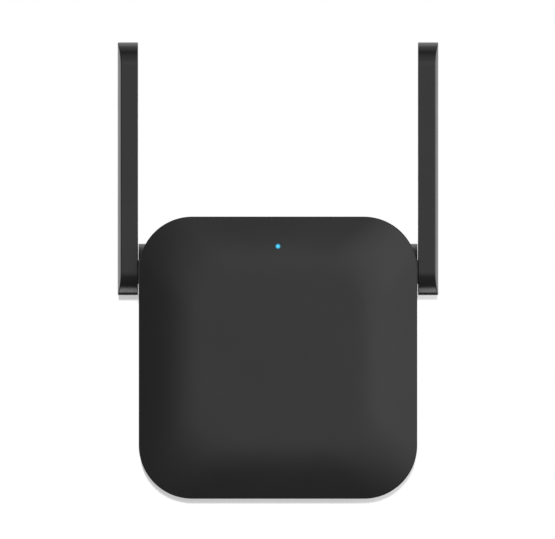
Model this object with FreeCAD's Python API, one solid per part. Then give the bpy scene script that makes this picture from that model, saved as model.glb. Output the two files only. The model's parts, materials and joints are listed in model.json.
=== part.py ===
import FreeCAD
import Part

import math
import os

from FreeCAD import Vector

# Plug-in wifi range extender. Millimetres. +Z is up, +X is to the right as seen from the front,
# and +Y points into the wall. The origin is midway between the two plug pins, on the face of the
# plug that the pins stand out of.

# ---- driving dimensions ----
BODY_W = 74.0
BODY_H = 75.0
BODY_DEPTH = 27.0
CORNER_R = 14.2
WALL = 1.9
REAR_WALL = 2.0
REAR_EDGE_R = 3.5
FRONT_EDGE_R = 0.35
REAR_SHELL_DEPTH = 12.0
SEAM_W = 0.4
SEAM_DEPTH = 0.35

# ---- crowned front face: a flat middle that rolls off towards the rim ----
DOME_BAND = 16.0
DOME_RIM_SLOPE = math.tan(math.radians(17.0))
DOME_EXPONENT = 1.4
DOME_CORNER_SHRINK = 0.25
DOME_GRID = 45
DOME_MARGIN = 1.5

# ---- hinges and antennas ----
HINGE_Z = 22.8
BOSS_R = 7.5
BOSS_LENGTH = 10.0
BOSS_PROUD = 0.12
BEARING_LENGTH = 2.8
BEARING_R = 3.25
INNER_BEARING_LENGTH = 1.4
BOSS_CAVITY_R = 6.3
PIVOT_R = 3.2
PIVOT_BORE_R = 1.1
PIVOT_END_GAP = 0.1
COLLAR_R = 5.0
COLLAR_T = 1.2
WASHER_T = 1.0
WASHER_INNER_R = 3.4
WASHER_OUTER_R = 4.8
LUG_HALF_W = 1.3
LUG_R = 6.0
STOP_HALF_ANGLE = 73.0
STOP_INNER_R = 5.2
BLADE_GAP = 0.29
BLADE_T = 5.41
BLADE_R = 6.2
BLADE_BOW = 0.88
BLADE_TOP_Z = 83.95
BLADE_WALL = 1.2
BLADE_INNER_EDGE_R = 0.2
BLADE_OUTER_EDGE_R = 0.3
LID_T = 1.2
LID_INSET = 0.9
LID_CLEARANCE = 0.05
RADIATOR_T = 0.6
RADIATOR_HALF_W = 4.0
RADIATOR_BOTTOM_Z = 28.0
RADIATOR_TOP_Z = 79.0
COPPER_T = 0.05
COAX_R = 0.57
COAX_SPLIT_INSET = 7.0
COAX_BLADE_BEND_R = 2.2
COAX_HOUSING_BEND_R = 3.7

# ---- plug: two round pins on a raised boss ----
PLUG_W = 35.3
PLUG_H = 13.7
PLUG_SLANT = 4.6
PLUG_DEPTH = 18.0
PLUG_WALL = 2.0
PLUG_FACE_T = 2.4
PLUG_EDGE_R = 0.8
PIN_SPACING = 18.6
PIN_TIP_SPACING = 17.5
PIN_R = 2.0
PIN_LENGTH = 19.0
PIN_TIP_R = 1.2
PIN_CORE_R = 1.5
PIN_SLEEVE_R = 1.82
PIN_SLEEVE_LENGTH = 10.0
PIN_SHOULDER_R = 2.6
PIN_SHOULDER_T = 3.0
PIN_TAIL_R = 1.2
PIN_TAIL_LENGTH = 4.6
PIN_RELIEF_R = 2.4
PIN_RELIEF_DEPTH = 0.5
CONTACT_W = 3.5
CONTACT_T = 0.4

# ---- indicator ----
LED_Z = 29.6
LIGHT_PIPE_R = 0.65
LIGHT_PIPE_HOLE_R = 0.7
LIGHT_PIPE_FLANGE_R = 1.5
LIGHT_PIPE_FLANGE_T = 1.6

# ---- circuit boards ----
MAIN_BOARD_W = 58.0
MAIN_BOARD_H = 64.0
MAIN_BOARD_SETBACK = 5.4
MAIN_BOARD_T = 1.2
BOARD_CORNER_R = 4.0
POWER_BOARD_W = 52.0
POWER_BOARD_TOP_Z = 20.0
POWER_BOARD_BOTTOM_Z = -24.0
POWER_BOARD_SETBACK = 3.6
POWER_BOARD_T = 1.6
TALLEST_PART = 11.8
SHEET_T = 0.3
SHEET_W = 46.0
SHEET_H = 40.0
SHEET_Z = -2.0
SHEET_CORNER_R = 2.0
SHEET_NOTCH_H = 12.0
POWER_BOARD_CORNER_R = 2.0

# ---- screws, hooks, vents, label ----
SCREW_R = 0.8
PILOT_R = 0.82
BOARD_HOLE_R = 1.15
SCREW_HEAD_R = 1.9
SCREW_HEAD_T = 1.3
POST_R = 2.4
HOOK_W = 6.0
HOOK_T = 1.0
HOOK_CLEARANCE = 0.2
HOOK_REACH = 5.0
HOOK_ROOT = 5.0
BARB_DEPTH = 0.6
BARB_T = 1.4
VENT_COUNT = 9
VENT_PITCH = 2.8
VENT_W = 1.2
VENT_LENGTH = 4.6
VENT_SETBACK = 7.4
LABEL_W = 44.0
LABEL_H = 18.0
LABEL_Z = -20.5
LABEL_T = 0.2
LABEL_RECESS = 0.25
LABEL_CORNER_R = 1.5
LABEL_CLEARANCE = 0.15

# ---- reset switch ----
RESET_X = 10.0
RESET_HOLE_R = 0.8
SWITCH_W = 6.0
SWITCH_H = 3.6
SWITCH_DEPTH = 3.4
PLUNGER_R = 0.9
PLUNGER_REACH = 1.4
PLUNGER_DEPTH = 1.5
PLUNGER_TIP_R = 0.25
PLUNGER_STROKE = 0.3
PLUNGER_CLEARANCE = 0.05

# ---- fastener and header places, (x, z) ----
MAIN_POSTS = [(x, z) for x in (-23.5, 23.5) for z in (-25.0, 11.5)]
POWER_POSTS = [(x, z) for x in (-22.0, 22.0) for z in (-20.5, 16.5)]
LINK_PITCH = 2.54
LINK_PINS = [(19.0, 3.0 + LINK_PITCH * i) for i in (-1, 0, 1)]
LINK_SPACER_W = 2.5
LINK_PIN_HALF = 0.32
LINK_HOLE_R = 0.5

# ---- chips on the front of the main board: (x, z, width, height, thickness) ----
MAIN_BOARD_CHIPS = {
    "wifi_chip": [(-4.0, -1.0, 7.0, 7.0, 0.9)],
    "power_amplifiers": [(5.0, -7.0, 3.0, 3.0, 0.8), (5.0, 3.0, 3.0, 3.0, 0.8)],
    "crystal": [(-11.0, -8.0, 3.2, 2.5, 0.7)],
    "memory_chip": [(-12.0, -20.0, 5.0, 4.0, 1.5)],
    "buck_inductor": [(17.5, -6.5, 4.0, 4.0, 2.0)],
    "status_led": [(0.0, LED_Z, 1.6, 0.8, 0.6)],
}
SHIELD_X = -2.0
SHIELD_Z = -2.0
SHIELD_W = 27.0
SHIELD_H = 23.0
SHIELD_T = 0.25
SHIELD_DEPTH = 1.9
SHIELD_HOLE_R = 0.5
SHIELD_HOLE_PITCH = 4.5
SHIELD_HOLES = [(i - 2, k - 1.5) for i in range(5) for k in range(4)]
COAX_PLUG_X = 13.0
COAX_PLUG_R = 1.4
COAX_PLUG_H = 1.2
COAX_SOCKET_W = 2.6
COAX_SOCKET_H = 0.5

# ---- parts on the front of the power board: (x, z, width, height, thickness) ----
POWER_BOARD_BLOCKS = {
    "bridge_rectifier": (-20.5, -6.0, 4.0, 4.8, 2.5),
    "optocoupler": (3.2, -5.0, 4.6, 6.5, 3.4),
    "control_chip": (-9.5, -8.5, 5.0, 4.0, 1.5),
}
# cans: places (x, z), radius, height
POWER_BOARD_CANS = {
    "bulk_capacitors": ([(-15.5, 9.5), (-15.5, 0.2)], 4.0, 11.4),
    "output_capacitors": ([(11.0, -16.5), (11.0, -9.0)], 3.15, 9.0),
}
CAN_EDGE_R = 0.5
ISOLATION_SLOT = (-2.0, -15.0, 1.2, 12.0)
TRANSFORMER_X = 4.0
TRANSFORMER_Z = 8.0
CORE_W = 14.0
CORE_T = 4.0
CORE_LEG = 1.8
CORE_MIDDLE_LEG = 3.0
BOBBIN_W = 10.0
BOBBIN_H = 13.0
BOBBIN_TUBE = (5.0, 6.0, 0.6)
BOBBIN_FLANGE_T = 0.8
WINDING = (9.4, 12.0, 2.6)
FUSE_X = -17.5
FUSE_Z = -15.25
FUSE_R = 1.6
FUSE_LENGTH = 7.5
FUSE_LIFT = 0.4
FUSE_LEAD_SPAN = 10.0
LEAD_R = 0.35
LEAD_BEND_R = 0.8
SAFETY_CAP_X = -5.0
SAFETY_CAP_Z = -5.0
SAFETY_CAP_R = 3.4
SAFETY_CAP_T = 2.6
SAFETY_CAP_LIFT = 1.2
SAFETY_CAP_PITCH = 3.6
INDUCTOR_X = -9.5
INDUCTOR_Z = -16.0
INDUCTOR_H = 6.0
INDUCTOR_FLANGE_T = 1.0
INDUCTOR_CORE_R = 1.6
INDUCTOR_WIRE_R = 2.5
INDUCTOR_FLANGE_R = 2.8

# ---- values that follow from the ones above ----
HALF_W = BODY_W / 2
HALF_H = BODY_H / 2
BACK_Y = -PLUG_DEPTH
FRONT_Y = BACK_Y - BODY_DEPTH
PARTING_Y = BACK_Y - REAR_SHELL_DEPTH
HINGE_Y = PARTING_Y
MAIN_BOARD_FRONT_Y = FRONT_Y + MAIN_BOARD_SETBACK
MAIN_BOARD_REAR_Y = MAIN_BOARD_FRONT_Y + MAIN_BOARD_T
POWER_BOARD_REAR_Y = BACK_Y - POWER_BOARD_SETBACK
POWER_BOARD_FRONT_Y = POWER_BOARD_REAR_Y - POWER_BOARD_T
VENT_Y = BACK_Y - VENT_SETBACK
WINDOW_Y0 = POWER_BOARD_FRONT_Y - TALLEST_PART + CORE_LEG
WINDOW_Y1 = POWER_BOARD_FRONT_Y - CORE_LEG
BLADE_IN_X = -HALF_W - BLADE_GAP
BLADE_OUT_X = BLADE_IN_X - BLADE_T
BOW_R = (BLADE_R**2 + BLADE_BOW**2) / (2 * BLADE_BOW)
BLADE_TIP_CENTRE_Z = BLADE_TOP_Z - BLADE_R
LID_REAR_X = BLADE_IN_X - LID_T
BOSS_OUTER_X = -HALF_W - BOSS_PROUD
BOSS_INNER_X = -HALF_W + BOSS_LENGTH
BEARING_END_X = -HALF_W + BEARING_LENGTH
COLLAR_X = BEARING_END_X + WASHER_T
COAX_SPLIT_X = -HALF_W + COAX_SPLIT_INSET
PIN_X = PIN_SPACING / 2
PIN_LEAN = math.degrees(math.atan((PIN_SPACING - PIN_TIP_SPACING) / 2 / PIN_LENGTH))
PIN_WALL_Y = -PLUG_FACE_T
PIN_SHOULDER_Y = PIN_WALL_Y - PIN_SHOULDER_T
PIN_TAIL_Y = PIN_SHOULDER_Y - PIN_TAIL_LENGTH
X_AXIS = Vector(1, 0, 0)
Y_AXIS = Vector(0, 1, 0)
Z_AXIS = Vector(0, 0, 1)


# ---- helpers ----
def block(x0, x1, y0, y1, z0, z1):
    return Part.makeBox(x1 - x0, y1 - y0, z1 - z0, Vector(x0, y0, z0))


def block_at(x, z, width, height, y0, y1):
    """A block centred on (x, z), from y0 to y1."""
    return block(x - width / 2, x + width / 2, y0, y1, z - height / 2, z + height / 2)


def rod_x(radius, x0, x1, y, z):
    return Part.makeCylinder(radius, x1 - x0, Vector(x0, y, z), X_AXIS)


def rod_y(radius, y0, y1, x, z):
    return Part.makeCylinder(radius, y1 - y0, Vector(x, y0, z), Y_AXIS)


def rod_z(radius, z0, z1, x, y):
    return Part.makeCylinder(radius, z1 - z0, Vector(x, y, z0), Z_AXIS)


def edges_at_y(shape, y):
    """The edges that lie in the plane at y."""
    return [e for e in shape.Edges if e.BoundBox.YLength < 0.01 and abs(e.BoundBox.YMin - y) < 0.01]


def joined(*shapes):
    return shapes[0].fuse(list(shapes[1:])).removeSplitter()


def mirrored(shape):
    """The same piece on the other side of the body."""
    return shape.mirror(Vector(0, 0, 0), X_AXIS)


def rounded_plate(width, height, radius, y0, y1, x=0.0, z=0.0):
    """A rounded rectangle in the XZ plane, centred on (x, z), from y0 to y1."""
    w, h = width / 2, height / 2
    edges = []
    corners = [(w, h, 0), (-w, h, 90), (-w, -h, 180), (w, -h, 270)]
    for cx, cz, start in corners:
        centre = Vector(x + cx - math.copysign(radius, cx), y0, z + cz - math.copysign(radius, cz))
        arc = [
            centre + Vector(radius * math.cos(math.radians(a)), 0, radius * math.sin(math.radians(a)))
            for a in (start, start + 45, start + 90)
        ]
        if edges:
            edges.append(Part.makeLine(edges[-1].Vertexes[-1].Point, arc[0]))
        edges.append(Part.Arc(*arc).toShape())
    edges.append(Part.makeLine(edges[-1].Vertexes[-1].Point, edges[0].Vertexes[0].Point))
    return Part.Face(Part.Wire(edges)).extrude(Vector(0, y1 - y0, 0))


def stadium(radius, z0, z1, x0, x1):
    """A slot-shaped prism along X: two half rounds of that radius centred at z0 and z1 on the hinge's Y."""
    y = HINGE_Y
    low = Part.Arc(Vector(x0, y - radius, z0), Vector(x0, y, z0 - radius), Vector(x0, y + radius, z0))
    high = Part.Arc(Vector(x0, y + radius, z1), Vector(x0, y, z1 + radius), Vector(x0, y - radius, z1))
    wire = Part.Wire(
        [
            low.toShape(),
            Part.makeLine(Vector(x0, y + radius, z0), Vector(x0, y + radius, z1)),
            high.toShape(),
            Part.makeLine(Vector(x0, y - radius, z1), Vector(x0, y - radius, z0)),
        ]
    )
    return Part.Face(wire).extrude(Vector(x1 - x0, 0, 0))


def tube_along(edges, radius):
    """A round lead swept along tangent lines and arcs."""
    path = Part.Wire([e.toShape() for e in edges])
    first = path.Edges[0]
    start = first.valueAt(first.FirstParameter)
    section = Part.Wire(Part.makeCircle(radius, start, first.tangentAt(first.FirstParameter)))
    return path.makePipeShell([section], True, True)


# ---- the crowned front surface ----
def rim_distance(x, z):
    """How far a point lies inside the rim, measured between nested rounded rectangles."""
    low, high = -12.0, HALF_W
    for _ in range(40):
        d = (low + high) / 2
        radius = CORNER_R - DOME_CORNER_SHRINK * d
        qx = abs(x) - (HALF_W - d - radius)
        qz = abs(z) - (HALF_H - d - radius)
        outside = math.hypot(max(qx, 0), max(qz, 0)) + min(max(qx, qz), 0) - radius
        if outside > 0:
            high = d
        else:
            low = d
    return low


def dome_drop(d):
    """How far the surface has fallen behind the flat middle, at distance d from the rim."""
    if d <= 0:
        return dome_drop(1e-9) - DOME_RIM_SLOPE * d
    t = min(d / DOME_BAND, 1.0)
    power = DOME_EXPONENT + 1
    return DOME_RIM_SLOPE * DOME_BAND * ((1 - t) - (1 - t**power) / power)


def behind_dome(shift):
    """Everything behind the crowned surface, moved back by shift."""
    reach_x = HALF_W + DOME_MARGIN
    reach_z = HALF_H + DOME_MARGIN
    last = DOME_GRID - 1
    rows = []
    for i in range(DOME_GRID):
        x = reach_x * (2 * i / last - 1)
        row = []
        for k in range(DOME_GRID):
            z = reach_z * (2 * k / last - 1)
            row.append(Vector(x, FRONT_Y + shift + dome_drop(rim_distance(x, z)), z))
        rows.append(row)
    surface = Part.BSplineSurface()
    surface.interpolate(rows)
    return surface.toShape().extrude(Vector(0, 2 * BODY_DEPTH, 0))


# ---- hinge parts that both shells share ----
def hinge_boss_outer():
    return rod_x(BOSS_R, BOSS_OUTER_X, BOSS_INNER_X, HINGE_Y, HINGE_Z)


def hinge_boss_cuts():
    """The two bearings and the pocket between them that holds the collar and washer."""
    bore = rod_x(BEARING_R, -HALF_W - 1, BOSS_INNER_X + 1, HINGE_Y, HINGE_Z)
    pocket_end = BOSS_INNER_X - INNER_BEARING_LENGTH
    pocket = rod_x(BOSS_CAVITY_R, BEARING_END_X, pocket_end, HINGE_Y, HINGE_Z)
    return bore.fuse(pocket)


def hinge_stop():
    """A ring sector behind the pivot that the collar's lug meets at both ends of its swing."""
    x0, x1 = COLLAR_X, COLLAR_X + COLLAR_T
    outer = Part.makeCylinder(
        BOSS_CAVITY_R + 0.3, x1 - x0, Vector(x0, HINGE_Y, HINGE_Z), X_AXIS, 2 * STOP_HALF_ANGLE
    )
    ring = outer.cut(rod_x(STOP_INNER_R, x0 - 1, x1 + 1, HINGE_Y, HINGE_Z)).Solids[0]
    # makeCylinder's sector starts at a direction of its own, so its middle is turned on to +Y
    middle = ring.CenterOfMass - Vector(0, HINGE_Y, HINGE_Z)
    turn = -math.degrees(math.atan2(middle.z, middle.y))
    ring.rotate(Vector(0, HINGE_Y, HINGE_Z), X_AXIS, turn)
    return ring


def both_sides(shape):
    return [shape, mirrored(shape)]


# ---- snap hooks ----
def hook_places():
    """(x, z, quarter turns) of each hook: the middle of its root on the wall's inner face."""
    top = HALF_H - WALL
    side = HALF_W - WALL
    places = []
    for x in (-19.0, 19.0):
        places.append((x, top, 0))
        places.append((x, -top, 2))
    for z in (-4.0, -19.0):
        places.append((side, z, 3))
        places.append((-side, z, 1))
    return places


def placed_hook(shape, place):
    """Turns a hook drawn under the top wall to its own wall. The hook is drawn with its root at z = 0."""
    x, z, turns = place
    moved = shape.copy()
    moved.rotate(Vector(0, 0, 0), Y_AXIS, -90.0 * turns)
    moved.translate(Vector(x, 0, z))
    return moved


def hook_shape():
    half = HOOK_W / 2
    root = block(-half, half, PARTING_Y - HOOK_ROOT, PARTING_Y, -HOOK_T - HOOK_CLEARANCE, 0.3)
    finger = block(
        -half,
        half,
        PARTING_Y - 1,
        PARTING_Y + HOOK_REACH,
        -HOOK_T - HOOK_CLEARANCE,
        -HOOK_CLEARANCE,
    )
    barb_y = PARTING_Y + HOOK_REACH - BARB_T
    barb = block(-half, half, barb_y, barb_y + BARB_T, -HOOK_CLEARANCE - 0.1, BARB_DEPTH - 0.2)
    return joined(root, finger, barb)


def hook_pocket():
    """The recess in the rear shell's wall that a barb springs into."""
    half = HOOK_W / 2 + 0.3
    barb_y = PARTING_Y + HOOK_REACH - BARB_T
    return block(-half, half, barb_y - 0.15, barb_y + BARB_T + 0.15, -0.1, BARB_DEPTH)


# ---- housing shells ----
def make_front_cover():
    outline = rounded_plate(BODY_W, BODY_H, CORNER_R, FRONT_Y - 1, PARTING_Y)
    outer = outline.common(behind_dome(0))
    rim = [e for e in outer.Edges if e.BoundBox.YMax < FRONT_Y + DOME_BAND / 2]
    outer = outer.makeFillet(FRONT_EDGE_R, rim)
    inner = rounded_plate(
        BODY_W - 2 * WALL, BODY_H - 2 * WALL, CORNER_R - WALL, FRONT_Y - 1, PARTING_Y + 1
    ).common(behind_dome(WALL))
    shell = outer.cut(inner)
    front_half = block(BOSS_OUTER_X, -BOSS_OUTER_X, FRONT_Y, PARTING_Y, -HALF_H, HALF_H)
    bosses = [b.common(front_half) for b in both_sides(hinge_boss_outer())]
    posts = [rod_y(POST_R, FRONT_Y + WALL - 0.2, MAIN_BOARD_FRONT_Y, x, z) for x, z in MAIN_POSTS]
    posts = [p.common(behind_dome(WALL / 2)) for p in posts]
    hooks = [placed_hook(hook_shape(), place) for place in hook_places()]
    shell = joined(shell, *bosses, *posts, *hooks)
    pilot_y = FRONT_Y + 1.6
    pilots = [rod_y(PILOT_R, pilot_y, MAIN_BOARD_FRONT_Y + 1, x, z) for x, z in MAIN_POSTS]
    led_hole = rod_y(LIGHT_PIPE_HOLE_R, FRONT_Y - 1, MAIN_BOARD_FRONT_Y, 0, LED_Z)
    switch_y = MAIN_BOARD_REAR_Y + SWITCH_DEPTH / 2
    reset_hole = rod_z(RESET_HOLE_R, -HALF_H - 1, -HALF_H + WALL + 1, RESET_X, switch_y)
    return shell.cut([*both_sides(hinge_boss_cuts()), *pilots, led_hole, reset_hole])


def plug_profile(inset, y0, y1):
    """The plug's eight-sided outline, moved in by inset."""
    w, h = PLUG_W / 2 - inset, PLUG_H / 2 - inset
    slant = PLUG_SLANT - inset * (2 - math.sqrt(2))
    points = [(w, h - slant), (w - slant, h), (slant - w, h), (-w, h - slant)]
    points += [(-x, -z) for x, z in points]
    loop = [Vector(x, y0, z) for x, z in points]
    return Part.Face(Part.makePolygon([*loop, loop[0]])).extrude(Vector(0, y1 - y0, 0))


def seam_groove():
    """A shallow groove round the rear shell's front edge, which shows as the line between the shells."""
    y1 = PARTING_Y + SEAM_W
    outer = block(-BODY_W, BODY_W, PARTING_Y - 1, y1, -BODY_H, BODY_H)
    kept_w, kept_h = BODY_W - 2 * SEAM_DEPTH, BODY_H - 2 * SEAM_DEPTH
    kept = rounded_plate(kept_w, kept_h, CORNER_R - SEAM_DEPTH, PARTING_Y - 2, y1 + 1)
    return outer.cut([kept, *both_sides(hinge_boss_outer())])


def make_rear_shell():
    outer = rounded_plate(BODY_W, BODY_H, CORNER_R, PARTING_Y, BACK_Y)
    outer = outer.makeFillet(REAR_EDGE_R, edges_at_y(outer, BACK_Y))
    floor_y = BACK_Y - REAR_WALL
    inner = rounded_plate(
        BODY_W - 2 * WALL, BODY_H - 2 * WALL, CORNER_R - WALL, PARTING_Y - 1, floor_y
    )
    inner = inner.makeFillet(REAR_EDGE_R - WALL, edges_at_y(inner, floor_y))
    shell = outer.cut(inner)
    rear_half = block(BOSS_OUTER_X, -BOSS_OUTER_X, PARTING_Y, BACK_Y, -HALF_H, HALF_H)
    bosses = [b.common(rear_half) for b in both_sides(hinge_boss_outer())]
    plug = plug_profile(0, floor_y, 0)
    root = [e.hashCode() for e in edges_at_y(plug, floor_y)]
    plug = plug.makeFillet(PLUG_EDGE_R, [e for e in plug.Edges if e.hashCode() not in root])
    posts = [rod_y(POST_R, POWER_BOARD_REAR_Y, floor_y + REAR_WALL / 2, x, z) for x, z in POWER_POSTS]
    shell = joined(shell, *bosses, plug, *posts)
    cuts = [plug_profile(PLUG_WALL, floor_y - 1, PIN_WALL_Y), seam_groove()]
    for side in (-1, 1):
        cuts.append(leaned(rod_y(PIN_SLEEVE_R, 2 * PIN_WALL_Y, 1, side * PIN_X, 0), side))
        cuts.append(rod_y(PIN_RELIEF_R, -PIN_RELIEF_DEPTH, 1, side * PIN_X, 0))
    cuts += both_sides(hinge_boss_cuts())
    cuts += [rod_y(PILOT_R, POWER_BOARD_REAR_Y - 1, BACK_Y - 1, x, z) for x, z in POWER_POSTS]
    recess_y = BACK_Y - LABEL_RECESS
    cuts.append(rounded_plate(LABEL_W, LABEL_H, LABEL_CORNER_R, recess_y, BACK_Y + 1, z=LABEL_Z))
    cuts += [placed_hook(hook_pocket(), place) for place in hook_places()]
    for i in range(VENT_COUNT):
        x = VENT_PITCH * (i - (VENT_COUNT - 1) / 2)
        for side in (-1, 1):
            z = side * (HALF_H - WALL / 2)
            slot = block_at(x, z, VENT_W, WALL + 1, VENT_Y - VENT_LENGTH / 2, VENT_Y + VENT_LENGTH / 2)
            cuts.append(slot)
    shell = shell.cut(cuts)
    return joined(shell, *both_sides(hinge_stop()))


def make_rating_label():
    gap = 2 * LABEL_CLEARANCE
    radius = LABEL_CORNER_R - LABEL_CLEARANCE
    y0 = BACK_Y - LABEL_RECESS
    return rounded_plate(LABEL_W - gap, LABEL_H - gap, radius, y0, y0 + LABEL_T, z=LABEL_Z)


def make_light_pipe():
    flange_y = FRONT_Y + dome_drop(HALF_H - LED_Z) + WALL
    stem = rod_y(LIGHT_PIPE_R, FRONT_Y - 1, flange_y + 0.5, 0, LED_Z).common(behind_dome(0))
    flange_start = MAIN_BOARD_FRONT_Y - 0.8 - LIGHT_PIPE_FLANGE_T
    flange = rod_y(LIGHT_PIPE_FLANGE_R, flange_start, flange_start + LIGHT_PIPE_FLANGE_T, 0, LED_Z)
    return joined(stem, flange)


# ---- plug pins. side is -1 for the left pin and 1 for the right one ----
def leaned(shape, side):
    """Tips one pin's parts towards the other pin, about the middle of its root."""
    shape.rotate(Vector(side * PIN_X, 0, 0), Z_AXIS, side * PIN_LEAN)
    return shape


def make_plug_pin(side):
    x = side * PIN_X
    contact = rod_y(PIN_R, PIN_SLEEVE_LENGTH, PIN_LENGTH, x, 0)
    contact = contact.makeFillet(PIN_TIP_R, edges_at_y(contact, PIN_LENGTH))
    core = rod_y(PIN_CORE_R, (PIN_WALL_Y + PIN_SHOULDER_Y) / 2, PIN_SLEEVE_LENGTH + 0.1, x, 0)
    shoulder = rod_y(PIN_SHOULDER_R, PIN_SHOULDER_Y, PIN_WALL_Y, x, 0)
    tail = rod_y(PIN_TAIL_R, PIN_TAIL_Y, PIN_SHOULDER_Y + 0.1, x, 0)
    return joined(leaned(joined(contact, core), side), shoulder, tail)


def make_pin_sleeve(side):
    """The insulation on the half of the pin next to the plug. It passes through the plug's wall."""
    x = side * PIN_X
    root_y = 2 * PIN_WALL_Y
    sleeve = rod_y(PIN_SLEEVE_R, root_y, PIN_SLEEVE_LENGTH, x, 0)
    sleeve = leaned(sleeve.cut(rod_y(PIN_CORE_R, root_y - 1, PIN_SLEEVE_LENGTH + 1, x, 0)), side)
    inside = block_at(x, 0, 4 * PIN_R, 4 * PIN_R, root_y - 1, PIN_WALL_Y)
    return sleeve.cut(inside)


def make_pin_contact(side):
    """A bent strip from the rear of the power board to the tail of one pin."""
    x0 = side * PIN_X - CONTACT_W / 2
    x1 = x0 + CONTACT_W
    leg_z, foot_z, pad_z = 3.4, 0.6, -1.6
    leg = block(x0, x1, POWER_BOARD_REAR_Y, PIN_TAIL_Y, leg_z, leg_z + CONTACT_T)
    pad = block(x0, x1, PIN_TAIL_Y - CONTACT_T, PIN_TAIL_Y, pad_z, leg_z + CONTACT_T)
    foot = block(x0, x1, POWER_BOARD_REAR_Y, POWER_BOARD_REAR_Y + CONTACT_T, foot_z, leg_z)
    return joined(leg, pad, foot)


# ---- antennas, drawn for the left side ----
def blade_solid(radius, x_inner, bow_inset):
    """A stadium-shaped slab whose outer face is bowed, so it is thickest along its middle."""
    slab = stadium(radius, HINGE_Z, BLADE_TIP_CENTRE_Z, BLADE_OUT_X - 1, x_inner)
    bow_axis_x = BLADE_OUT_X + BOW_R
    z0, z1 = HINGE_Z - 2 * BLADE_R, BLADE_TOP_Z + BLADE_R
    return slab.common(rod_z(BOW_R - bow_inset, z0, z1, bow_axis_x, HINGE_Y))


def make_antenna_shell():
    outer = blade_solid(BLADE_R, BLADE_IN_X, 0)
    bowed_edge = [e for e in outer.Edges if e.BoundBox.XMax < BLADE_OUT_X + 2 * BLADE_BOW]
    outer = outer.makeFillet(BLADE_OUTER_EDGE_R, bowed_edge)
    inner_edge = [e for e in outer.Edges if e.BoundBox.XMin > BLADE_IN_X - 0.01]
    outer = outer.makeFillet(BLADE_INNER_EDGE_R, inner_edge)
    hollow = blade_solid(BLADE_R - BLADE_WALL, LID_REAR_X + 0.1, BLADE_WALL)
    opening = stadium(
        BLADE_R - LID_INSET, HINGE_Z, BLADE_TIP_CENTRE_Z, LID_REAR_X, BLADE_IN_X + 1
    )
    return outer.cut([hollow, opening])


def make_antenna_pivot():
    """The blade's inner lid with its moulded hollow pivot, thrust collar and stop lug."""
    lid = stadium(
        BLADE_R - LID_INSET - LID_CLEARANCE, HINGE_Z, BLADE_TIP_CENTRE_Z, LID_REAR_X, BLADE_IN_X
    )
    end_x = BOSS_INNER_X - PIVOT_END_GAP
    shaft = rod_x(PIVOT_R, LID_REAR_X, end_x, HINGE_Y, HINGE_Z)
    collar = rod_x(COLLAR_R, COLLAR_X, COLLAR_X + COLLAR_T, HINGE_Y, HINGE_Z)
    lug = block(
        COLLAR_X,
        COLLAR_X + COLLAR_T,
        HINGE_Y - LUG_HALF_W,
        HINGE_Y + LUG_HALF_W,
        HINGE_Z + COLLAR_R - 0.8,
        HINGE_Z + LUG_R,
    )
    bore = rod_x(PIVOT_BORE_R, LID_REAR_X - 1, end_x + 1, HINGE_Y, HINGE_Z)
    return joined(lid, shaft, collar, lug).cut(bore)


def make_hinge_washer():
    ring = rod_x(WASHER_OUTER_R, BEARING_END_X, COLLAR_X, HINGE_Y, HINGE_Z)
    return ring.cut(rod_x(WASHER_INNER_R, BEARING_END_X - 1, COLLAR_X + 1, HINGE_Y, HINGE_Z))


RADIATOR_IN_X = BLADE_OUT_X + BLADE_WALL + 1.0
COAX_BLADE_X = RADIATOR_IN_X + COPPER_T + COAX_R


def make_radiator_board():
    return block(
        RADIATOR_IN_X - RADIATOR_T,
        RADIATOR_IN_X,
        HINGE_Y - RADIATOR_HALF_W,
        HINGE_Y + RADIATOR_HALF_W,
        RADIATOR_BOTTOM_Z,
        RADIATOR_TOP_Z,
    )


def make_radiator_traces():
    """Two printed dipole arms with a feed pad, on the face of the board that the lead reaches."""
    x0, x1 = RADIATOR_IN_X, RADIATOR_IN_X + COPPER_T
    feed_z = (RADIATOR_BOTTOM_Z + RADIATOR_TOP_Z) / 2
    arms = []
    for sign in (-1, 1):
        root = feed_z + sign * 0.6
        tip = feed_z + sign * 22.0
        low, high = min(root, tip), max(root, tip)
        arms.append(block(x0, x1, HINGE_Y - 2.6, HINGE_Y + 2.6, low, high))
    pad = block(x0, x1, HINGE_Y - 1.5, HINGE_Y + 1.5, RADIATOR_BOTTOM_Z + 0.5, RADIATOR_BOTTOM_Z + 3)
    return Part.makeCompound([*arms, pad])


def make_antenna_coax():
    """The part of the lead that turns with the blade."""
    bend = COAX_BLADE_BEND_R
    x_bend = COAX_BLADE_X + bend
    y = HINGE_Y
    corner = math.sqrt(0.5) * bend
    mid = Vector(x_bend - corner, y, HINGE_Z + bend - corner)
    start = Vector(COAX_SPLIT_X, y, HINGE_Z)
    bend_start = Vector(x_bend, y, HINGE_Z)
    bend_end = Vector(COAX_BLADE_X, y, HINGE_Z + bend)
    end = Vector(COAX_BLADE_X, y, RADIATOR_BOTTOM_Z + 3)
    return tube_along(
        [
            Part.LineSegment(start, bend_start),
            Part.Arc(bend_start, mid, bend_end),
            Part.LineSegment(bend_end, end),
        ],
        COAX_R,
    )


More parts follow.
